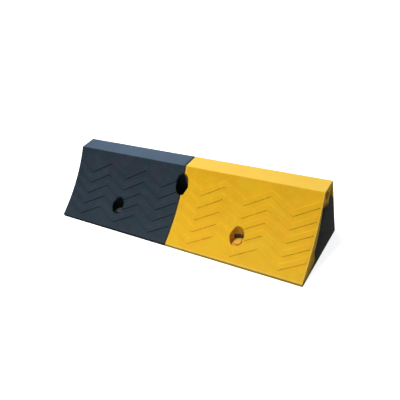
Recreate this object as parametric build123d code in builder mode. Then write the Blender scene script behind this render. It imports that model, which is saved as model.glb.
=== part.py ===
from build123d import *
from math import hypot, sqrt
import os

# A rubber wheel stop made of two modules set end to end: a black one, and a yellow one
# that is a black core under a bonded yellow skin.
#
# X runs along the stop. The seam between the modules is at X = 0, and the yellow module
# is on the +X side. Y runs from the treaded face (-Y) to the back (+Y), and Z is up from
# the ground. The origin is at the centre of the base. All sizes are in millimetres.

# ---------------------------------------------------------------- driving dimensions

# One module
module_length = 500.0
module_depth = 270.0  # front lip to back edge, along the ground
module_height = 200.0
seam_gap = 0.4  # between the two facing ends

# Its section
crest_depth = 64.0  # the flat top, front to back
back_lean = 4.0  # how far the back leans out between crest and ground
lip_height = 10.0  # upright edge at the front of the face
face_radius = 660.0  # the hollow of the face
crest_round = 3.0
lip_round = 2.0
end_round = 2.0

# Raised zigzag ribs across the face
zigzags = 3  # whole zigzags along one module
zigzag_rise = 45.5  # valley to peak, up the face
rib_width = 19.5  # measured up the face
rib_pitch = 41.8
rib_height = 2.0  # proud of the face
rib_root = 1.0  # sunk into the face, so that rib and body are one
first_rib = 21.0  # up the face, from the lip to the lowest rib's valleys
crest_margin = 20.0  # plain strip left under the crest
tread_end_margin = 4.0  # from a module's end to where each rib starts to rise
rib_runout = 6.0  # length of the slope from there to the rib's full height

# Counterbored holes, one near the middle of each face and one shared at the seam
counterbore_radius = 25.0
floor_height = 33.0  # rubber left under the bolt head
face_hole_setback = 71.5  # from the front edge
face_hole_offset = 2.5  # from the module's middle, away from the seam
seam_hole_setback = 162.0  # from the front edge
bolt_bore_radius = 7.0

# Steel sleeve for the bolt, in the lower part of each face hole's bore
sleeve_wall = 3.0
sleeve_length = 20.0
sleeve_clearance = 0.1
sleeve_recess = 1.0  # above the ground

# Rubber bung that closes the top of that bore until the bolt goes in
bung_head_radius = 11.5
bung_head_height = 7.0
bung_head_round = 3.0
bung_stem_length = 10.0
bung_clearance = 0.2

# Sockets in the module ends, and the dowel that links the two modules
socket_radius = 13.0
socket_depth = 40.0
socket_drop = 22.0  # axis below the top
socket_inset = 52.0  # axis in front of the crest's back edge
dowel_side_clearance = 0.25
dowel_end_clearance = 1.0
dowel_chamfer = 1.5

# Yellow skin, as the space between the module's outside and its core
skin_least = 5.0  # where the core comes nearest to the face and the top
toe_skin_depth = 42.0  # yellow part of the base, from the front edge
foot_setback = 97.0  # back of the core's low foot, from the front edge
foot_height = 20.0  # at its back
waist_setback = 101.0  # from the front edge
waist_height = 52.0
core_front_bow = 5.0  # how far the core bows away from the face above its waist
cap_front_depth = 42.0  # yellow cap, below the top, at the face
cap_middle_depth = 60.0  # at its deepest
cap_back_depth = 69.0  # where it ends on the back
cap_middle_inset = 44.0  # deepest line, in front of the crest's back edge
key_rise = 25.0  # ridge on the core that keys the cap on
key_width = 11.5
key_inset = 29.0  # middle of the ridge, in front of the crest's back edge
end_block_length = 36.0  # core that fills the inner end around the seam hole
end_block_inset = 13.0  # its back, in front of the crest's back edge
nose_height = 18.0  # core that shows in the wall of the face hole
nose_left = 20.0  # its reach from the hole's axis towards the seam
nose_right = 40.0  # its reach away from the seam
nose_front = 8.0  # its front, behind the hole's axis

# ------------------------------------------------------------------- derived places

inner_end = seam_gap / 2
outer_end = inner_end + module_length
front = -module_depth / 2
back = module_depth / 2
crest_back = back - back_lean
crest_front = crest_back - crest_depth

# The face is an arc from the lip to the crest, hollow towards the front
face_run = crest_front - front
face_rise = module_height - lip_height
face_chord = hypot(face_run, face_rise)
face_axis_distance = sqrt(face_radius**2 - (face_chord / 2) ** 2)
face_sagitta = face_radius - face_axis_distance
chord_middle_y = (front + crest_front) / 2
chord_middle_z = (lip_height + module_height) / 2
face_axis_y = chord_middle_y - face_axis_distance * face_rise / face_chord
face_axis_z = chord_middle_z + face_axis_distance * face_run / face_chord
face_middle = (
    chord_middle_y + face_sagitta * face_rise / face_chord,
    chord_middle_z - face_sagitta * face_run / face_chord,
)

hole_x = inner_end + module_length / 2 + face_hole_offset
face_hole_y = front + face_hole_setback
seam_hole_y = front + seam_hole_setback
sleeve_radius = bolt_bore_radius + sleeve_wall
lined_bore_radius = sleeve_radius + sleeve_clearance
socket_y = crest_back - socket_inset
socket_z = module_height - socket_drop

section_plane = Plane.YZ.offset(inner_end)
tread_plane = Plane(
    origin=(inner_end, front, lip_height),
    x_dir=(1, 0, 0),
    z_dir=(0, -face_rise, face_run),
)


def back_at(height):
    """Y of the leaning back at a height above the ground."""
    return back - back_lean * height / module_height


def zigzag(base):
    """Corners of one zigzag line along a module, with a peak at both ends."""
    half_period = module_length / (2 * zigzags)
    corners = []
    for i in range(2 * zigzags + 1):
        rise = zigzag_rise if i % 2 == 0 else 0.0
        corners.append((i * half_period, base + rise))
    return corners


def drill(x, y, radius, bottom, top):
    """Cuts an upright round hole between two heights."""
    with Locations((x, y, bottom)):
        Cylinder(
            radius,
            top - bottom,
            align=(Align.CENTER, Align.CENTER, Align.MIN),
            mode=Mode.SUBTRACT,
        )


# --------------------------------------------------------------------------- tread

tread_space = face_chord - crest_margin - first_rib - rib_width - zigzag_rise
rib_rows = int(tread_space / rib_pitch) + 1
tread_depth = face_sagitta + rib_root + rib_height

rib_root_start = tread_end_margin - rib_runout * rib_root / rib_height
rib_full_start = tread_end_margin + rib_runout
root_y = face_axis_y + face_radius + rib_root
rib_top_y = face_axis_y + face_radius - rib_height

# A ring around the axis of the face, with its ends tapered, cut into zigzag ribs
with BuildPart() as tread:
    with BuildSketch(Plane.XY.offset(face_axis_z)):
        with BuildLine():
            Polyline(
                (inner_end + rib_root_start, root_y),
                (outer_end - rib_root_start, root_y),
                (outer_end - rib_full_start, rib_top_y),
                (inner_end + rib_full_start, rib_top_y),
                close=True,
            )
        make_face()
    revolve(axis=Axis((0, face_axis_y, face_axis_z), (1, 0, 0)))
    with BuildSketch(tread_plane.offset(rib_height)):
        for row in range(rib_rows):
            lower_edge = zigzag(first_rib + row * rib_pitch)
            upper_edge = zigzag(first_rib + row * rib_pitch + rib_width)
            with BuildLine():
                Polyline(*lower_edge, *reversed(upper_edge), close=True)
            make_face()
    extrude(amount=-(tread_depth + rib_height), mode=Mode.INTERSECT)

# ------------------------------------------------- outside and holes of one module

with BuildPart() as module:
    with BuildSketch(section_plane):
        with BuildLine():
            ThreePointArc(
                (front, lip_height), face_middle, (crest_front, module_height)
            )
            Polyline(
                (crest_front, module_height),
                (crest_back, module_height),
                (back, 0),
                (front, 0),
                (front, lip_height),
            )
        make_face()
    extrude(amount=module_length)
    long_edges = module.edges().filter_by(Axis.X)
    fillet(long_edges.group_by(Axis.Z)[-1], crest_round)
    long_edges = module.edges().filter_by(Axis.X)
    fillet(long_edges.group_by(Axis.Y)[0].sort_by(Axis.Z)[-1], lip_round)
    end_faces = module.faces().filter_by(Axis.X)
    end_edges = end_faces.edges().filter_by(lambda edge: edge.center().Z > lip_round)
    fillet(end_edges, end_round)
    add(tread.part)
    drill(hole_x, face_hole_y, counterbore_radius, floor_height, module_height)
    drill(hole_x, face_hole_y, lined_bore_radius, 0, floor_height)
    drill(0, seam_hole_y, counterbore_radius, floor_height, module_height)
    drill(0, seam_hole_y, bolt_bore_radius, 0, floor_height)
    for end_plane in (section_plane, Plane.YZ.offset(outer_end - socket_depth)):
        with BuildSketch(end_plane):
            with Locations((socket_y, socket_z)):
                Circle(socket_radius)
        extrude(amount=socket_depth, mode=Mode.SUBTRACT)

# ---------------------------------------------------------------------- black module

with BuildPart() as black_body:
    add(module.part)
    mirror(about=Plane.YZ, mode=Mode.REPLACE)

# --------------------------------------------------------------------- yellow module

shoulder_z = module_height - cap_front_depth
shoulder_reach = (face_radius + skin_least) ** 2 - (face_axis_z - shoulder_z) ** 2
shoulder = (face_axis_y + sqrt(shoulder_reach), shoulder_z)
toe = (front + toe_skin_depth, 0)
foot_back = (front + foot_setback, foot_height)
waist = (front + waist_setback, waist_height)
bowed_run = shoulder[0] - waist[0]
bowed_rise = shoulder_z - waist_height
bowed_length = hypot(bowed_run, bowed_rise)
core_front_middle = (
    (waist[0] + shoulder[0]) / 2 + core_front_bow * bowed_rise / bowed_length,
    (waist_height + shoulder_z) / 2 - core_front_bow * bowed_run / bowed_length,
)
cap_middle = (crest_back - cap_middle_inset, module_height - cap_middle_depth)
key_top_z = cap_middle[1] + key_rise
key_front_y = crest_back - key_inset - key_width / 2
key_back_y = key_front_y + key_width
cap_back_z = module_height - cap_back_depth

with BuildPart() as yellow_core:
    with BuildSketch(section_plane):
        with BuildLine():
            Polyline(toe, foot_back, waist)
            ThreePointArc(waist, core_front_middle, shoulder)
            Polyline(
                shoulder,
                cap_middle,
                (key_front_y, key_top_z),
                (key_back_y, key_top_z),
                (back_at(cap_back_z), cap_back_z),
                (back, 0),
                toe,
            )
        make_face()
    extrude(amount=module_length)
    with Locations((inner_end, toe[0], 0)):
        Box(
            end_block_length,
            crest_back - end_block_inset - toe[0],
            module_height - skin_least,
            align=(Align.MIN, Align.MIN, Align.MIN),
        )
    with Locations((hole_x - nose_left, face_hole_y + nose_front, floor_height)):
        Box(
            nose_left + nose_right,
            waist_setback - face_hole_setback,
            nose_height,
            align=(Align.MIN, Align.MIN, Align.MIN),
        )
    with BuildSketch(section_plane):
        with Locations((face_axis_y, face_axis_z)):
            Circle(face_radius + skin_least)
    extrude(amount=module_length, mode=Mode.SUBTRACT)
    add(module.part, mode=Mode.INTERSECT)

with BuildPart() as yellow_skin:
    add(module.part)
    add(yellow_core.part, mode=Mode.SUBTRACT)

# ------------------------------------------------------------- sleeves and bungs


def build_sleeve(x):
    """Steel tube in the lower part of one face hole's bore."""
    with BuildPart() as sleeve:
        with BuildSketch(Plane.XY.offset(sleeve_recess)):
            with Locations((x, face_hole_y)):
                Circle(sleeve_radius)
                Circle(bolt_bore_radius, mode=Mode.SUBTRACT)
        extrude(amount=sleeve_length)
    return sleeve.part


def build_bung(x):
    """Rubber bung: a low domed head on the counterbore floor, and a stem in the bore."""
    with BuildPart() as bung:
        with BuildSketch(Plane.XY.offset(floor_height)):
            with Locations((x, face_hole_y)):
                Circle(bung_head_radius)
        extrude(amount=bung_head_height)
        fillet(bung.edges().group_by(Axis.Z)[-1], bung_head_round)
        with BuildSketch(Plane.XY.offset(floor_height)):
            with Locations((x, face_hole_y)):
                Circle(lined_bore_radius - bung_clearance)
        extrude(amount=-bung_stem_length)
    return bung.part


black_sleeve = build_sleeve(-hole_x)
yellow_sleeve = build_sleeve(hole_x)
black_bung = build_bung(-hole_x)
yellow_bung = build_bung(hole_x)

# -------------------------------------------------------------------- link dowel

dowel_half_length = inner_end + socket_depth - dowel_end_clearance

with BuildPart() as link_dowel:
    with BuildSketch(Plane.YZ.offset(-dowel_half_length)):
        with Locations((socket_y, socket_z)):
            Circle(socket_radius - dowel_side_clearance)
    extrude(amount=2 * dowel_half_length)
    chamfer(link_dowel.edges().filter_by(GeomType.CIRCLE), dowel_chamfer)

# ------------------------------------------------------------------------- export

pieces = {
    "black_body": black_body.part,
    "yellow_core": yellow_core.part,
    "yellow_skin": yellow_skin.part,
    "black_bolt_sleeve": black_sleeve,
    "yellow_bolt_sleeve": yellow_sleeve,
    "black_bung": black_bung,
    "yellow_bung": yellow_bung,
    "link_dowel": link_dowel.part,
}

os.makedirs("parts", exist_ok=True)
for name, piece in pieces.items():
    piece.label = name
    export_step(piece, f"parts/{name}.step")
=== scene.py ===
from math import hypot, radians, sqrt

import bmesh
import bpy
from mathutils import Matrix, Vector
from mathutils.bvhtree import BVHTree


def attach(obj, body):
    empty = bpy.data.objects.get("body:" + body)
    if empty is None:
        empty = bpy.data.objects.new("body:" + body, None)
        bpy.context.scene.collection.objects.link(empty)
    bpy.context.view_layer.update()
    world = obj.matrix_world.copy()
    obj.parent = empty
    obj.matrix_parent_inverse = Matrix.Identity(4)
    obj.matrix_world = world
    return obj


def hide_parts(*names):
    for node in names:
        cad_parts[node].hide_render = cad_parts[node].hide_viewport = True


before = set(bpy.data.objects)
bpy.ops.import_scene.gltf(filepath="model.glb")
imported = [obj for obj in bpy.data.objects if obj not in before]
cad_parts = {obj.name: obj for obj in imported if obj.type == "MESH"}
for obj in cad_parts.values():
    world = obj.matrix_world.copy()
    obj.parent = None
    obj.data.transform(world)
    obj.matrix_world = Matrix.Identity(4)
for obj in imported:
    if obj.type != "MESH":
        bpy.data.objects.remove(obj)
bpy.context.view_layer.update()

# A rubber wheel stop of two modules, black and yellow. X runs along it, the yellow module
# is on the +X side, -Y is the treaded face, and Z is up from the ground. All in metres.

# ------------------------------------------------------------------ driving values

# Camera
CAMERA_PLACE = Vector((0.9389, -1.0322, 1.0744))
CAMERA_TARGET = Vector((0.0855, 0.0, 0.1206))
CAMERA_ROLL = radians(-12.706)
CAMERA_LENS = 43.97
SENSOR_WIDTH = 36.0

# Light: two soft discs, and a world with a sky above the horizon and a dim glow below
KEY_PLACE = (-0.50, -0.50, 2.88)
KEY_SIZE = 0.9
KEY_POWER = 73.0
KEY_COLOUR = (1.0, 0.975, 0.93)
SKY_PLACE = (-1.5, 1.9, 1.75)
SKY_SIZE = 1.8
SKY_POWER = 32.0
SKY_COLOUR = (0.62, 0.80, 1.0)
ZENITH = (0.85, 0.93, 1.0)
ZENITH_STRENGTH = 0.34
GROUND_GLOW = (1.0, 0.95, 0.86)
GROUND_GLOW_STRENGTH = 0.19
HORIZON_BLUR = 0.05

# Floor
FLOOR_SIZE = 60
FLOOR_COLOUR = (0.85, 0.85, 0.85)
FLOOR_ROUGHNESS = 0.95
FLOOR_GLOW = 0.75

# Softened edges of the rubber: the radius on top of a rib, on any other outer edge and in
# an inner corner, and the angles and distances that tell the edges apart
RIB_TOP_ROUND = 0.0016
RIM_ROUND = 0.0009
FOOT_ROUND = 0.0007
EDGE_SEGMENTS = 3
WELD_DISTANCE = 0.00002
FLAT_ANGLE = radians(0.01)
SHARP_ANGLE = radians(28)
STILL_SHARP_ANGLE = radians(40)
SLANT_ANGLE = radians(40)
SHORT_EDGE_SHARE = 0.25
TOUCHING = 0.00005
FULL_WEIGHT = 100

# The face and its tread, as in the CAD source
MODULE_LENGTH = 0.5
SEAM_HALF = 0.0002
FRONT = -0.135
CREST_FRONT = 0.067
LIP_HEIGHT = 0.010
HEIGHT = 0.2
FACE_RADIUS = 0.66
ZIGZAGS = 3
ZIGZAG_RISE = 0.0455
RIB_WIDTH = 0.0195
RIB_PITCH = 0.0418
RIB_HEIGHT = 0.002
RIB_ROWS = 5
FIRST_RIB = 0.021

# How far in front of the hollow face an edge is that counts as the top of a rib
RIB_TOP_BAND = (0.6 * RIB_HEIGHT, 1.4 * RIB_HEIGHT)

# The counterbored holes: places of their axes on the yellow side, and their radius
FACE_HOLE = (0.2527, -0.0635, 0)
SEAM_HOLE = (0, 0.027, 0)
HOLE_RADIUS = 0.025

# The link sockets: their axis in the YZ plane, and their radius
SOCKET = (0, 0.079, 0.178)
SOCKET_RADIUS = 0.013

# Masks of painted shade, light, highlights and sheen, and of wear and a dusty film, on the
# rubber. A pair says where a mask starts and where it is full
TREAD_BAND = (0.0040, 0.0030)
EDGE_BAND = (0.0035, 0.0025)
LOWEST_ROW = (-0.004, -0.003)
HIGHEST_ROW = (RIB_ROWS * RIB_PITCH - 0.004, RIB_ROWS * RIB_PITCH - 0.005)
# The lower wall of a rib, painted with shade on the black and with light on the yellow
RIB_WALL = (0.0016, 0.0006)
# Where the painted highlight along a rib's upper edge runs, and how wide it is
RIB_HIGHLIGHT_LINE = RIB_WIDTH - 0.001
RIB_HIGHLIGHT_BAND = (0.0022, 0.0003)
# How the painted shade inside the holes and sockets fades in, at the wall and below the rim
BORE_SLACK = (0.0007, 0.0002)
BORE_DEPTH = (-0.0005, -0.005)
# How the painted shade along the join fades out
SEAM_FADE = 0.0008
# How wide the painted highlight, with some wear, is along the inner and outer end edges and
# the lip
INNER_END = (0.0076, 0.0056)
OUTER_END = (0.0042, 0.0026)
LIP_BAND = (0.0052, 0.0020)
FACING_UP = (0.88, 0.99)
FACING_END = (0.90, 0.97)
# How high the end faces are darker towards the bottom, and how ragged that line is
BASE_DARK_HEIGHT = (0.021, 0.010)
BASE_DARK_RAGGED = 0.010

# Gloss of the moulded rubber
RUBBER_ROUGHNESS = 0.62
RUBBER_SPECULAR = 0.2

# The hollow face: the chord of its section, and the line that it curves around
FACE_RUN = CREST_FRONT - FRONT
FACE_RISE = HEIGHT - LIP_HEIGHT
FACE_CHORD = hypot(FACE_RUN, FACE_RISE)
AXIS_DISTANCE = sqrt(FACE_RADIUS**2 - (FACE_CHORD / 2) ** 2)
FACE_AXIS = Vector(
    (
        0,
        (FRONT + CREST_FRONT) / 2 - AXIS_DISTANCE * FACE_RISE / FACE_CHORD,
        (LIP_HEIGHT + HEIGHT) / 2 + AXIS_DISTANCE * FACE_RUN / FACE_CHORD,
    )
)

# ------------------------------------------------------------------ camera and light


def add_camera():
    camera = bpy.data.objects.new("camera", bpy.data.cameras.new("camera"))
    bpy.context.scene.collection.objects.link(camera)
    camera.data.lens = CAMERA_LENS
    camera.data.sensor_width = SENSOR_WIDTH
    aim = (CAMERA_TARGET - CAMERA_PLACE).to_track_quat("-Z", "Y").to_matrix().to_4x4()
    roll = Matrix.Rotation(CAMERA_ROLL, 4, "Z")
    camera.matrix_world = Matrix.Translation(CAMERA_PLACE) @ aim @ roll
    bpy.context.scene.camera = camera


def add_area(name, place, size, power, colour):
    """A round soft light that looks at the middle of the stop."""
    light = bpy.data.lights.new(name, "AREA")
    light.shape = "DISK"
    light.size = size
    light.energy = power
    light.color = colour
    lamp = bpy.data.objects.new(name, light)
    bpy.context.scene.collection.objects.link(lamp)
    lamp.location = place
    aim = Vector((0, 0, HEIGHT / 2)) - Vector(place)
    lamp.rotation_euler = aim.to_track_quat("-Z", "Y").to_euler()


def add_world():
    """A pale sky above the horizon and a dim warm glow from the ground below it."""
    world = bpy.data.worlds.new("studio")
    world.use_nodes = True
    bpy.context.scene.world = world
    tree = world.node_tree
    tree.nodes.clear()
    place = tree.nodes.new("ShaderNodeTexCoord")
    split = tree.nodes.new("ShaderNodeSeparateXYZ")
    ramp = tree.nodes.new("ShaderNodeMapRange")
    ramp.inputs["From Min"].default_value = -HORIZON_BLUR
    ramp.inputs["From Max"].default_value = HORIZON_BLUR
    mix = tree.nodes.new("ShaderNodeMixShader")
    output = tree.nodes.new("ShaderNodeOutputWorld")
    tree.links.new(place.outputs["Generated"], split.inputs[0])
    tree.links.new(split.outputs["Z"], ramp.inputs["Value"])
    tree.links.new(ramp.outputs["Result"], mix.inputs[0])
    tree.links.new(mix.outputs[0], output.inputs["Surface"])
    shades = ((GROUND_GLOW, GROUND_GLOW_STRENGTH), (ZENITH, ZENITH_STRENGTH))
    for socket, (colour, strength) in zip(mix.inputs[1:3], shades):
        shade = tree.nodes.new("ShaderNodeBackground")
        shade.inputs["Color"].default_value = (*colour, 1)
        shade.inputs["Strength"].default_value = strength
        tree.links.new(shade.outputs[0], socket)


def add_floor():
    """A plain pale floor. It is seen and takes shadows, but throws no light back up."""
    bpy.ops.mesh.primitive_plane_add(size=FLOOR_SIZE, location=(0, 0, 0))
    floor = bpy.context.object
    floor.name = "floor"
    material = bpy.data.materials.new("floor")
    material.use_nodes = True
    shader = material.node_tree.nodes["Principled BSDF"]
    shader.inputs["Base Color"].default_value = (*FLOOR_COLOUR, 1)
    shader.inputs["Roughness"].default_value = FLOOR_ROUGHNESS
    shader.inputs["Specular IOR Level"].default_value = 0.0
    shader.inputs["Emission Color"].default_value = (1, 1, 1, 1)
    shader.inputs["Emission Strength"].default_value = FLOOR_GLOW
    floor.data.materials.append(material)
    floor.visible_diffuse = False
    floor.visible_glossy = False


add_camera()
add_world()
add_area("key", KEY_PLACE, KEY_SIZE, KEY_POWER, KEY_COLOUR)
add_area("sky", SKY_PLACE, SKY_SIZE, SKY_POWER, SKY_COLOUR)
add_floor()
bpy.context.scene.view_settings.view_transform = "Standard"

# ------------------------------------------------------------------ shader nodes and masks


class Nodes:
    """Adds shader nodes to one material. An input is either a value or another node's
    output."""

    def __init__(self, name):
        self.material = bpy.data.materials.new(name)
        self.material.use_nodes = True
        self.tree = self.material.node_tree
        self.shader = self.tree.nodes["Principled BSDF"]
        self.place = self.add("TexCoord").outputs["Object"]

    def add(self, kind, inputs=(), **settings):
        node = self.tree.nodes.new("ShaderNode" + kind)
        for key, value in settings.items():
            setattr(node, key, value)
        for key, value in dict(inputs).items():
            self.put(node.inputs[key], value)
        return node

    def put(self, socket, value):
        if isinstance(value, bpy.types.NodeSocket):
            self.tree.links.new(value, socket)
        else:
            socket.default_value = value

    def math(self, operation, first, second=0.0, third=0.0):
        node = self.add("Math", operation=operation)
        for socket, value in zip(node.inputs, (first, second, third)):
            self.put(socket, value)
        return node.outputs[0]

    def vector(self, operation, first, second=(0, 0, 0)):
        node = self.add("VectorMath", {0: first, 1: second}, operation=operation)
        is_number = operation in ("LENGTH", "DISTANCE")
        return node.outputs["Value" if is_number else "Vector"]

    def split(self, vector):
        return self.add("SeparateXYZ", {0: vector}).outputs

    def noise(self, scale, detail=3.0, roughness=0.55, stretch=None, offset=None):
        place = self.place
        if stretch or offset:
            mapping = self.add("Mapping", {"Vector": place})
            mapping.inputs["Scale"].default_value = stretch or (1, 1, 1)
            mapping.inputs["Location"].default_value = offset or (0, 0, 0)
            place = mapping.outputs[0]
        node = self.add(
            "TexNoise",
            {"Vector": place, "Scale": scale, "Detail": detail, "Roughness": roughness},
        )
        return node.outputs["Fac"]

    def span(self, value, low, high, to_low=0.0, to_high=1.0, smooth=False):
        """A value that goes from to_low to to_high while the given one goes from low to
        high, and stays there beyond them."""
        node = self.add(
            "MapRange",
            {
                "Value": value,
                "From Min": low,
                "From Max": high,
                "To Min": to_low,
                "To Max": to_high,
            },
        )
        if smooth:
            node.interpolation_type = "SMOOTHSTEP"
        return node.outputs["Result"]

    def mix(self, factor, first, second):
        node = self.add("Mix", data_type="RGBA")
        self.put(node.inputs[0], factor)
        for socket, value in zip(node.inputs[6:8], (first, second)):
            if not isinstance(value, bpy.types.NodeSocket):
                value = (*value, 1.0)
            self.put(socket, value)
        return node.outputs[2]

    def bump(self, height, distance, strength, under=None):
        node = self.add(
            "Bump", {"Height": height, "Distance": distance, "Strength": strength}
        )
        if under:
            self.put(node.inputs["Normal"], under)
        return node.outputs[0]

    def finish(self, colour, roughness, normal, uniform=()):
        """Connects the shader, and sets what is the same all over on its own sockets."""
        inputs = {"Base Color": colour, "Roughness": roughness, "Normal": normal}
        inputs.update(uniform)
        for key, value in inputs.items():
            self.put(self.shader.inputs[key], value)
        return self.material


def from_seam(nodes):
    """How far a point is from the inner end of its module."""
    along = nodes.split(nodes.place)["X"]
    return nodes.math("SUBTRACT", nodes.math("ABSOLUTE", along), SEAM_HALF)


def from_line(nodes, axis):
    """How far a point is from the line along X that goes through axis."""
    away = nodes.vector("SUBTRACT", nodes.place, axis)
    return nodes.vector("LENGTH", nodes.vector("MULTIPLY", away, (0, 1, 1)))


def tread_place(nodes):
    """Two values for a point of the tread: how far up it is from the lower edge of the
    lowest rib, along the chord of the face and following the zigzags, and how far it
    stands in front of the hollow face."""
    half_period = MODULE_LENGTH / (2 * ZIGZAGS)
    swing = nodes.math("PINGPONG", from_seam(nodes), half_period)
    fall = nodes.math("DIVIDE", swing, half_period)
    zigzag = nodes.math("MULTIPLY", nodes.math("SUBTRACT", 1.0, fall), ZIGZAG_RISE)
    split = nodes.split(nodes.place)
    back = nodes.math("SUBTRACT", split["Y"], FRONT)
    up = nodes.math("SUBTRACT", split["Z"], LIP_HEIGHT)
    chord = nodes.math("MULTIPLY", back, FACE_RUN / FACE_CHORD)
    chord = nodes.math("MULTIPLY_ADD", up, FACE_RISE / FACE_CHORD, chord)
    above = nodes.math("SUBTRACT", nodes.math("SUBTRACT", chord, zigzag), FIRST_RIB)
    proud = nodes.math("SUBTRACT", FACE_RADIUS, from_line(nodes, FACE_AXIS))
    return above, proud


def tread_painted_light(nodes, above, proud, patch, foot_reach):
    """Two masks: the lower wall of each rib and a strip below it, where the black is painted
    darker, a painted shade, and the yellow lighter, a painted light that fills the rib's
    shadow; and a painted highlight along the upper edge of each rib. The strip reaches
    foot_reach down from the rib."""
    on_face = nodes.span(nodes.math("ABSOLUTE", proud), *TREAD_BAND)
    in_rows = nodes.math(
        "MULTIPLY", nodes.span(above, *LOWEST_ROW), nodes.span(above, *HIGHEST_ROW)
    )
    in_tread = nodes.math("MULTIPLY", on_face, in_rows)
    up_rib = nodes.math("FLOORED_MODULO", above, RIB_PITCH)
    # Below each rib and on its lower wall: painted shade on the black, painted light on the
    # yellow
    below = nodes.span(up_rib, RIB_PITCH - foot_reach, RIB_PITCH - foot_reach / 4, smooth=True)
    painted_foot_shading = nodes.math("MAXIMUM", below, nodes.span(up_rib, *RIB_WALL))
    painted_foot_shading = nodes.math("MULTIPLY", painted_foot_shading, nodes.span(patch, 0.3, 0.6, 0.55, 0.95))
    # A painted highlight along the upper edge of each rib, in patches
    from_edge = nodes.math("ABSOLUTE", nodes.math("SUBTRACT", up_rib, RIB_HIGHLIGHT_LINE))
    painted_rib_highlight = nodes.span(from_edge, *RIB_HIGHLIGHT_BAND, smooth=True)
    painted_rib_highlight = nodes.math("MULTIPLY", painted_rib_highlight, nodes.span(patch, 0.44, 0.66, 0.0, 0.35))
    return nodes.math("MULTIPLY", painted_foot_shading, in_tread), nodes.math("MULTIPLY", painted_rib_highlight, in_tread)


def within(nodes, reach, radius):
    """1 on the wall of a bore of that radius and inside it, by the distance from its axis."""
    return nodes.span(reach, *(radius + slack for slack in BORE_SLACK))


def inside_holes(nodes, proud):
    """1 on the walls and floors of the counterbored holes, fading in below the rim, where
    shade is painted.
    """
    split = nodes.split(nodes.place)
    mirrored = nodes.add("CombineXYZ", {0: nodes.math("ABSOLUTE", split["X"]), 1: split["Y"]})
    reach = nodes.math(
        "MINIMUM",
        nodes.vector("DISTANCE", mirrored.outputs[0], FACE_HOLE),
        nodes.vector("DISTANCE", mirrored.outputs[0], SEAM_HOLE),
    )
    below_rim = nodes.span(proud, *BORE_DEPTH)
    return nodes.math("MULTIPLY", within(nodes, reach, HOLE_RADIUS), below_rim)


def inside_sockets(nodes):
    """1 on the walls of the link sockets, where shade is painted."""
    return within(nodes, from_line(nodes, SOCKET), SOCKET_RADIUS)


def module_edges(nodes, proud, seam_width):
    """Two masks: a line of that width along the join between the modules, where shade is
    painted, and a narrow line along both end edges of a module and the upper edge of its lip,
    where a highlight is painted, with some wear."""
    split = nodes.split(nodes.place)
    inner = from_seam(nodes)
    outer = nodes.math("SUBTRACT", MODULE_LENGTH, inner)
    on_face = nodes.span(nodes.math("ABSOLUTE", proud), *EDGE_BAND)
    on_top = nodes.span(split["Z"], *(HEIGHT - depth for depth in EDGE_BAND))
    outside = nodes.math("MAXIMUM", on_face, on_top)
    # Painted shade in the join between the modules; on the black it is browned, a painted
    # reflection of the yellow
    seam_shade = nodes.span(inner, seam_width, seam_width - SEAM_FADE)
    # A painted highlight, with some wear, along the end edges and the upper edge of the lip
    edge_wear_and_highlight = nodes.math("MAXIMUM", nodes.span(inner, *INNER_END), nodes.span(outer, *OUTER_END))
    lip_back = nodes.math("SUBTRACT", split["Y"], FRONT)
    lip_up = nodes.math("ABSOLUTE", nodes.math("SUBTRACT", split["Z"], LIP_HEIGHT))
    lip = nodes.span(nodes.math("MAXIMUM", lip_back, lip_up), *LIP_BAND)
    edge_wear_and_highlight = nodes.math("MAXIMUM", nodes.math("MULTIPLY", edge_wear_and_highlight, outside), lip)
    return nodes.math("MULTIPLY", seam_shade, outside), edge_wear_and_highlight


# ------------------------------------------------------------------ materials


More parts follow.
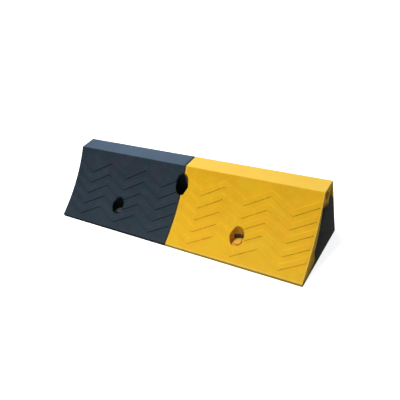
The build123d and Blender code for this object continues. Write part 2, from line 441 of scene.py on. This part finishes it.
def moulded_rubber(name, colours, foot_reach, seam_width):
    """Moulded rubber: soft mottling, fine specks, a dusty film with a painted sheen on what
    faces up, painted shade and light below the ribs, painted highlights on their upper edges
    and, with some wear, on the module's edges, painted shade in the join, the holes and the
    sockets, a fine grain and a slightly uneven surface."""
    nodes = Nodes(name)
    cloud = nodes.noise(7.0, 4.0, 0.6)
    patch = nodes.noise(38.0, 5.0, 0.62, offset=(3.1, 1.7, 5.3))
    speck = nodes.noise(520.0, 2.0, 0.7, offset=(7.7, 2.9, 0.4))
    tint = nodes.noise(17.0, 2.0, 0.5, offset=(9.2, 4.4, 6.1))

    # The rubber itself
    colour = nodes.mix(nodes.span(cloud, 0.36, 0.66), colours["dark"], colours["middle"])
    for value, low, high, most, shade in (
        (patch, 0.47, 0.72, 0.6, "light"),
        (speck, 0.60, 0.70, 0.35, "light"),
        (speck, 0.40, 0.30, 0.35, "dark"),
        (tint, 0.52, 0.66, 0.5, "warm"),
        (tint, 0.47, 0.34, 0.5, "cool"),
    ):
        colour = nodes.mix(nodes.span(value, low, high, 0.0, most), colour, colours[shade])

    # Painted shade, light, highlights and sheen, with a dusty film and wear, each over the one
    # before
    above, proud = tread_place(nodes)
    painted_foot_shading, painted_rib_highlight = tread_painted_light(nodes, above, proud, patch, foot_reach)
    facing = nodes.split(nodes.add("NewGeometry").outputs["Normal"])
    # A dusty film with a painted bluish sheen, on what faces up
    dust_and_sheen_mask = nodes.span(facing["Z"], *FACING_UP, smooth=True)
    dust_and_sheen_mask = nodes.math("MULTIPLY", dust_and_sheen_mask, nodes.span(cloud, 0.3, 0.7, 0.7, 0.95))
    # The end faces of a module turn paler and greyer
    end_face = nodes.span(nodes.math("ABSOLUTE", facing["X"]), *FACING_END, 0.0, 0.85)
    # The end faces are darker towards the bottom, with a ragged upper line
    height = nodes.split(nodes.place)["Z"]
    ragged = nodes.math("MULTIPLY_ADD", patch, BASE_DARK_RAGGED, height)
    darker_base = nodes.math("MULTIPLY", nodes.span(ragged, *BASE_DARK_HEIGHT), end_face)
    seam_shade, edge_wear_and_highlight = module_edges(nodes, proud, seam_width)
    for mask, shade in (
        # Painted shade on the black, painted light on the yellow, below the ribs
        (painted_foot_shading, "painted_foot_shading"),
        # Painted highlight along the upper rib edges, in the lighter shade of the rubber
        (painted_rib_highlight, "light"),
        # Dusty film and painted sheen on what faces up
        (dust_and_sheen_mask, "dust_and_sheen"),
        # End faces, paler and greyer
        (end_face, "end"),
        # End faces darker towards the bottom
        (darker_base, "darker_base"),
        # Painted highlight with some wear along the module's edges and lip
        (nodes.math("MULTIPLY", edge_wear_and_highlight, nodes.span(patch, 0.35, 0.6, 0.5, 0.9)), "edge"),
        # Painted shade in the join between the modules
        (nodes.math("MULTIPLY", seam_shade, 0.85), "seam_shade"),
        # Painted shade inside the holes
        (inside_holes(nodes, proud), "hole_shade"),
        # Painted shade inside the link sockets
        (inside_sockets(nodes), "socket"),
    ):
        colour = nodes.mix(mask, colour, colours[shade])

    rough = nodes.span(patch, 0.3, 0.7, RUBBER_ROUGHNESS - 0.05, RUBBER_ROUGHNESS + 0.07)
    rough = nodes.math("ADD", rough, nodes.span(speck, 0.3, 0.7, -0.04, 0.04))
    wavy = nodes.bump(nodes.noise(26.0, 2.0, 0.5, offset=(1.3, 8.1, 4.2)), 0.0012, 0.35)
    grain = nodes.bump(nodes.noise(900.0, 3.0, 0.65), 0.00022, 0.5, wavy)
    return nodes.finish(colour, rough, grain, {"Specular IOR Level": RUBBER_SPECULAR})


def bung_rubber(name, colours):
    """Soft rubber of a bung: faint mottling, fine grain."""
    nodes = Nodes(name)
    patch = nodes.noise(120.0, 4.0, 0.6)
    colour = nodes.mix(nodes.span(patch, 0.36, 0.64), colours["dark"], colours["light"])
    rough = nodes.span(patch, 0.3, 0.7, 0.5, 0.62)
    grain = nodes.bump(nodes.noise(900.0), 0.0002, 0.4)
    return nodes.finish(colour, rough, grain, {"Specular IOR Level": 0.3})


def crumb_rubber(name, colours):
    """Core rubber: pressed crumbs, each its own shade of black."""
    nodes = Nodes(name)
    crumb = nodes.add("TexVoronoi", {"Vector": nodes.place, "Scale": 330.0})
    shade = nodes.add("SeparateColor", {0: crumb.outputs["Color"]}).outputs[0]
    cloud = nodes.noise(14.0, 4.0, 0.6)
    colour = nodes.mix(nodes.span(shade, 0.0, 1.0), colours["dark"], colours["light"])
    colour = nodes.mix(nodes.span(shade, 0.93, 0.97, 0.0, 0.5), colour, colours["pale"])
    colour = nodes.mix(nodes.span(cloud, 0.4, 0.7, 0.0, 0.4), colour, colours["cloud"])
    rough = nodes.span(shade, 0.0, 1.0, 0.62, 0.82)
    pits = nodes.bump(nodes.span(crumb.outputs["Distance"], 0.0, 0.8, 1.0, 0.0), 0.0006, 0.5)
    grain = nodes.bump(nodes.noise(1100.0), 0.0002, 0.4, pits)
    return nodes.finish(colour, rough, grain, {"Specular IOR Level": 0.35})


def zinc_steel(name, colours):
    """Zinc-plated tube, brushed around its axis."""
    nodes = Nodes(name)
    spangle = nodes.noise(240.0, 3.0, 0.6)
    streak = nodes.noise(160.0, 3.0, 0.6, stretch=(1.0, 1.0, 22.0))
    colour = nodes.mix(nodes.span(spangle, 0.35, 0.65), colours["dark"], colours["light"])
    rough = nodes.span(streak, 0.3, 0.7, 0.28, 0.48)
    return nodes.finish(colour, rough, nodes.bump(streak, 0.0001, 0.3), {"Metallic": 1.0})


def turned_plastic(name, colours):
    """Plain black plastic rod with faint turning rings."""
    nodes = Nodes(name)
    rings = nodes.noise(900.0, 2.0, 0.6, stretch=(1.0, 0.02, 0.02))
    cloud = nodes.noise(30.0)
    colour = nodes.mix(nodes.span(cloud, 0.35, 0.65), colours["dark"], colours["light"])
    rough = nodes.span(rings, 0.3, 0.7, 0.38, 0.55)
    return nodes.finish(colour, rough, nodes.bump(rings, 0.0001, 0.4))


BLACK = {
    "dark": (0.0140, 0.0255, 0.0395),
    "middle": (0.0195, 0.033, 0.049),
    "light": (0.030, 0.046, 0.064),
    "warm": (0.026, 0.029, 0.044),
    "cool": (0.0145, 0.035, 0.047),
    # Painted shade below the ribs and on their lower walls
    "painted_foot_shading": (0.010, 0.017, 0.026),
    # Dusty film with a painted bluish sheen, on what faces up
    "dust_and_sheen": (0.058, 0.088, 0.135),
    # End faces, paler and greyer
    "end": (0.022, 0.030, 0.040),
    # End faces, darker towards the bottom
    "darker_base": (0.016, 0.017, 0.018),
    # Painted highlight with some wear along the module's edges and lip
    "edge": (0.024, 0.038, 0.054),
    # Painted shade in the join, browned as a painted reflection of the yellow
    "seam_shade": (0.028, 0.018, 0.012),
    # Painted shade inside the holes
    "hole_shade": (0.005, 0.006, 0.007),
    # Painted shade inside the link sockets
    "socket": (0.005, 0.006, 0.007),
}
YELLOW = {
    "dark": (0.74, 0.40, 0.0045),
    "middle": (0.80, 0.445, 0.005),
    "light": (0.87, 0.51, 0.012),
    "warm": (0.84, 0.41, 0.008),
    "cool": (0.77, 0.47, 0.012),
    # Painted light below the ribs and on their lower walls, filling their shadow
    "painted_foot_shading": (0.96, 0.58, 0.02),
    # Dusty film with a painted sheen, on what faces up
    "dust_and_sheen": (0.80, 0.50, 0.06),
    # End faces, paler and greyer
    "end": (0.84, 0.53, 0.09),
    # End faces, darker towards the bottom
    "darker_base": (0.10, 0.065, 0.020),
    # Painted highlight with some wear along the module's edges and lip
    "edge": (0.84, 0.55, 0.09),
    # Painted shade in the join between the modules
    "seam_shade": (0.035, 0.022, 0.003),
    # Painted shade inside the holes, orange for light bounced between yellow walls
    "hole_shade": (0.68, 0.34, 0.035),
    # Faint painted shade inside the link sockets
    "socket": (0.78, 0.43, 0.020),
}
BLACK_BUNG = {"dark": (0.028, 0.031, 0.032), "light": (0.044, 0.048, 0.049)}
YELLOW_BUNG = {"dark": (0.74, 0.40, 0.05), "light": (0.82, 0.47, 0.08)}
CORE = {
    "dark": (0.034, 0.035, 0.030),
    "light": (0.082, 0.083, 0.071),
    "pale": (0.15, 0.145, 0.125),
    "cloud": (0.088, 0.088, 0.076),
}
ZINC = {"dark": (0.42, 0.43, 0.45), "light": (0.60, 0.61, 0.62)}
PLASTIC = {"dark": (0.020, 0.020, 0.021), "light": (0.036, 0.036, 0.038)}

black = moulded_rubber("black_rubber", BLACK, foot_reach=0.0040, seam_width=0.0048)
yellow = moulded_rubber("yellow_rubber", YELLOW, foot_reach=0.0010, seam_width=0.0044)
black_plug = bung_rubber("black_bung_rubber", BLACK_BUNG)
yellow_plug = bung_rubber("yellow_bung_rubber", YELLOW_BUNG)
core = crumb_rubber("core_rubber", CORE)
steel = zinc_steel("sleeve_steel", ZINC)
plastic = turned_plastic("dowel_plastic", PLASTIC)

# ------------------------------------------------------------------ pieces


def is_sharp(edge):
    return len(edge.link_faces) == 2 and edge.calc_face_angle() > SHARP_ANGLE


def middle_of(edge):
    return (edge.verts[0].co + edge.verts[1].co) / 2


def wanted_round(edge):
    """The most on top of a rib, and the least in an inner corner."""
    if not edge.is_convex:
        return FOOT_ROUND
    middle = middle_of(edge)
    from_axis = Vector((0, middle.y, middle.z)) - FACE_AXIS
    lowest, highest = RIB_TOP_BAND
    if lowest < FACE_RADIUS - from_axis.length < highest:
        return RIB_TOP_ROUND
    return RIM_ROUND


def edge_round(edge, others):
    """Radius that an edge is rounded off to: none where another piece touches it or
    where it meets another sharp edge at a slant, and little where edges are short."""
    middle = middle_of(edge)
    for other in others:
        if other.find_nearest(middle, TOUCHING)[0] is not None:
            return 0.0
    radius = wanted_round(edge)
    for vert in edge.verts:
        along = edge.other_vert(vert).co - vert.co
        for beside in vert.link_edges:
            radius = min(radius, SHORT_EDGE_SHARE * beside.calc_length())
            if beside is not edge and is_sharp(beside):
                away = beside.other_vert(vert).co - vert.co
                if along.angle(away) < SLANT_ANGLE:
                    return 0.0
    return radius


def surface_of(node):
    """The surface of a CAD node, to find the nearest point on."""
    shape = bmesh.new()
    shape.from_mesh(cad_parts[node].data)
    surface = BVHTree.FromBMesh(shape)
    shape.free()
    return surface


def weigh_edges(mesh, others):
    """Joins the triangles of each flat face and gives every sharp edge its bevel weight,
    which is a share of the largest radius."""
    shape = bmesh.new()
    shape.from_mesh(mesh)
    bmesh.ops.remove_doubles(shape, verts=shape.verts, dist=WELD_DISTANCE)
    bmesh.ops.dissolve_limit(
        shape, angle_limit=FLAT_ANGLE, verts=shape.verts, edges=shape.edges
    )
    for face in shape.faces:
        face.smooth = True
    weight = shape.edges.layers.float.new("bevel_weight_edge")
    for edge in shape.edges:
        if is_sharp(edge):
            edge[weight] = edge_round(edge, others) / RIB_TOP_ROUND
    shape.to_mesh(mesh)
    shape.free()


def round_edges(piece):
    """Bevels a piece by its edge weights, and shades it sharp where it still is."""
    bevel = piece.modifiers.new("soft_edges", "BEVEL")
    bevel.width = RIB_TOP_ROUND
    bevel.segments = EDGE_SEGMENTS
    bevel.limit_method = "WEIGHT"
    bevel.use_clamp_overlap = False
    bevel.miter_outer = "MITER_ARC"
    graph = bpy.context.evaluated_depsgraph_get()
    rounded = bpy.data.meshes.new_from_object(piece.evaluated_get(graph))
    rounded.name = piece.name
    rounded.set_sharp_from_angle(angle=STILL_SHARP_ANGLE)
    piece.modifiers.remove(bevel)
    piece.data = rounded
    weighted = piece.modifiers.new("flat_faces", "WEIGHTED_NORMAL")
    weighted.weight = FULL_WEIGHT
    weighted.keep_sharp = True


def softened(name, node, material, beside=()):
    """A copy of a CAD node with its sharp edges rounded off, which stands for it. The
    nodes beside it share a surface with it, and those edges stay as they are."""
    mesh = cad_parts[node].data.copy()
    mesh.name = name
    weigh_edges(mesh, [surface_of(neighbour) for neighbour in beside])
    mesh.materials.clear()
    mesh.materials.append(material)
    piece = bpy.data.objects.new(name, mesh)
    bpy.context.scene.collection.objects.link(piece)
    round_edges(piece)
    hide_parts(node)
    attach(piece, "root")


softened("black_module", "black_body", black)
softened("yellow_module_skin", "yellow_skin", yellow, ("yellow_core",))
softened("yellow_module_core", "yellow_core", core, ("yellow_skin",))

for node, material in (
    ("black_bung", black_plug),
    ("yellow_bung", yellow_plug),
    ("black_bolt_sleeve", steel),
    ("yellow_bolt_sleeve", steel),
    ("link_dowel", plastic),
):
    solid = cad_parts[node]
    solid.data.materials.clear()
    solid.data.materials.append(material)
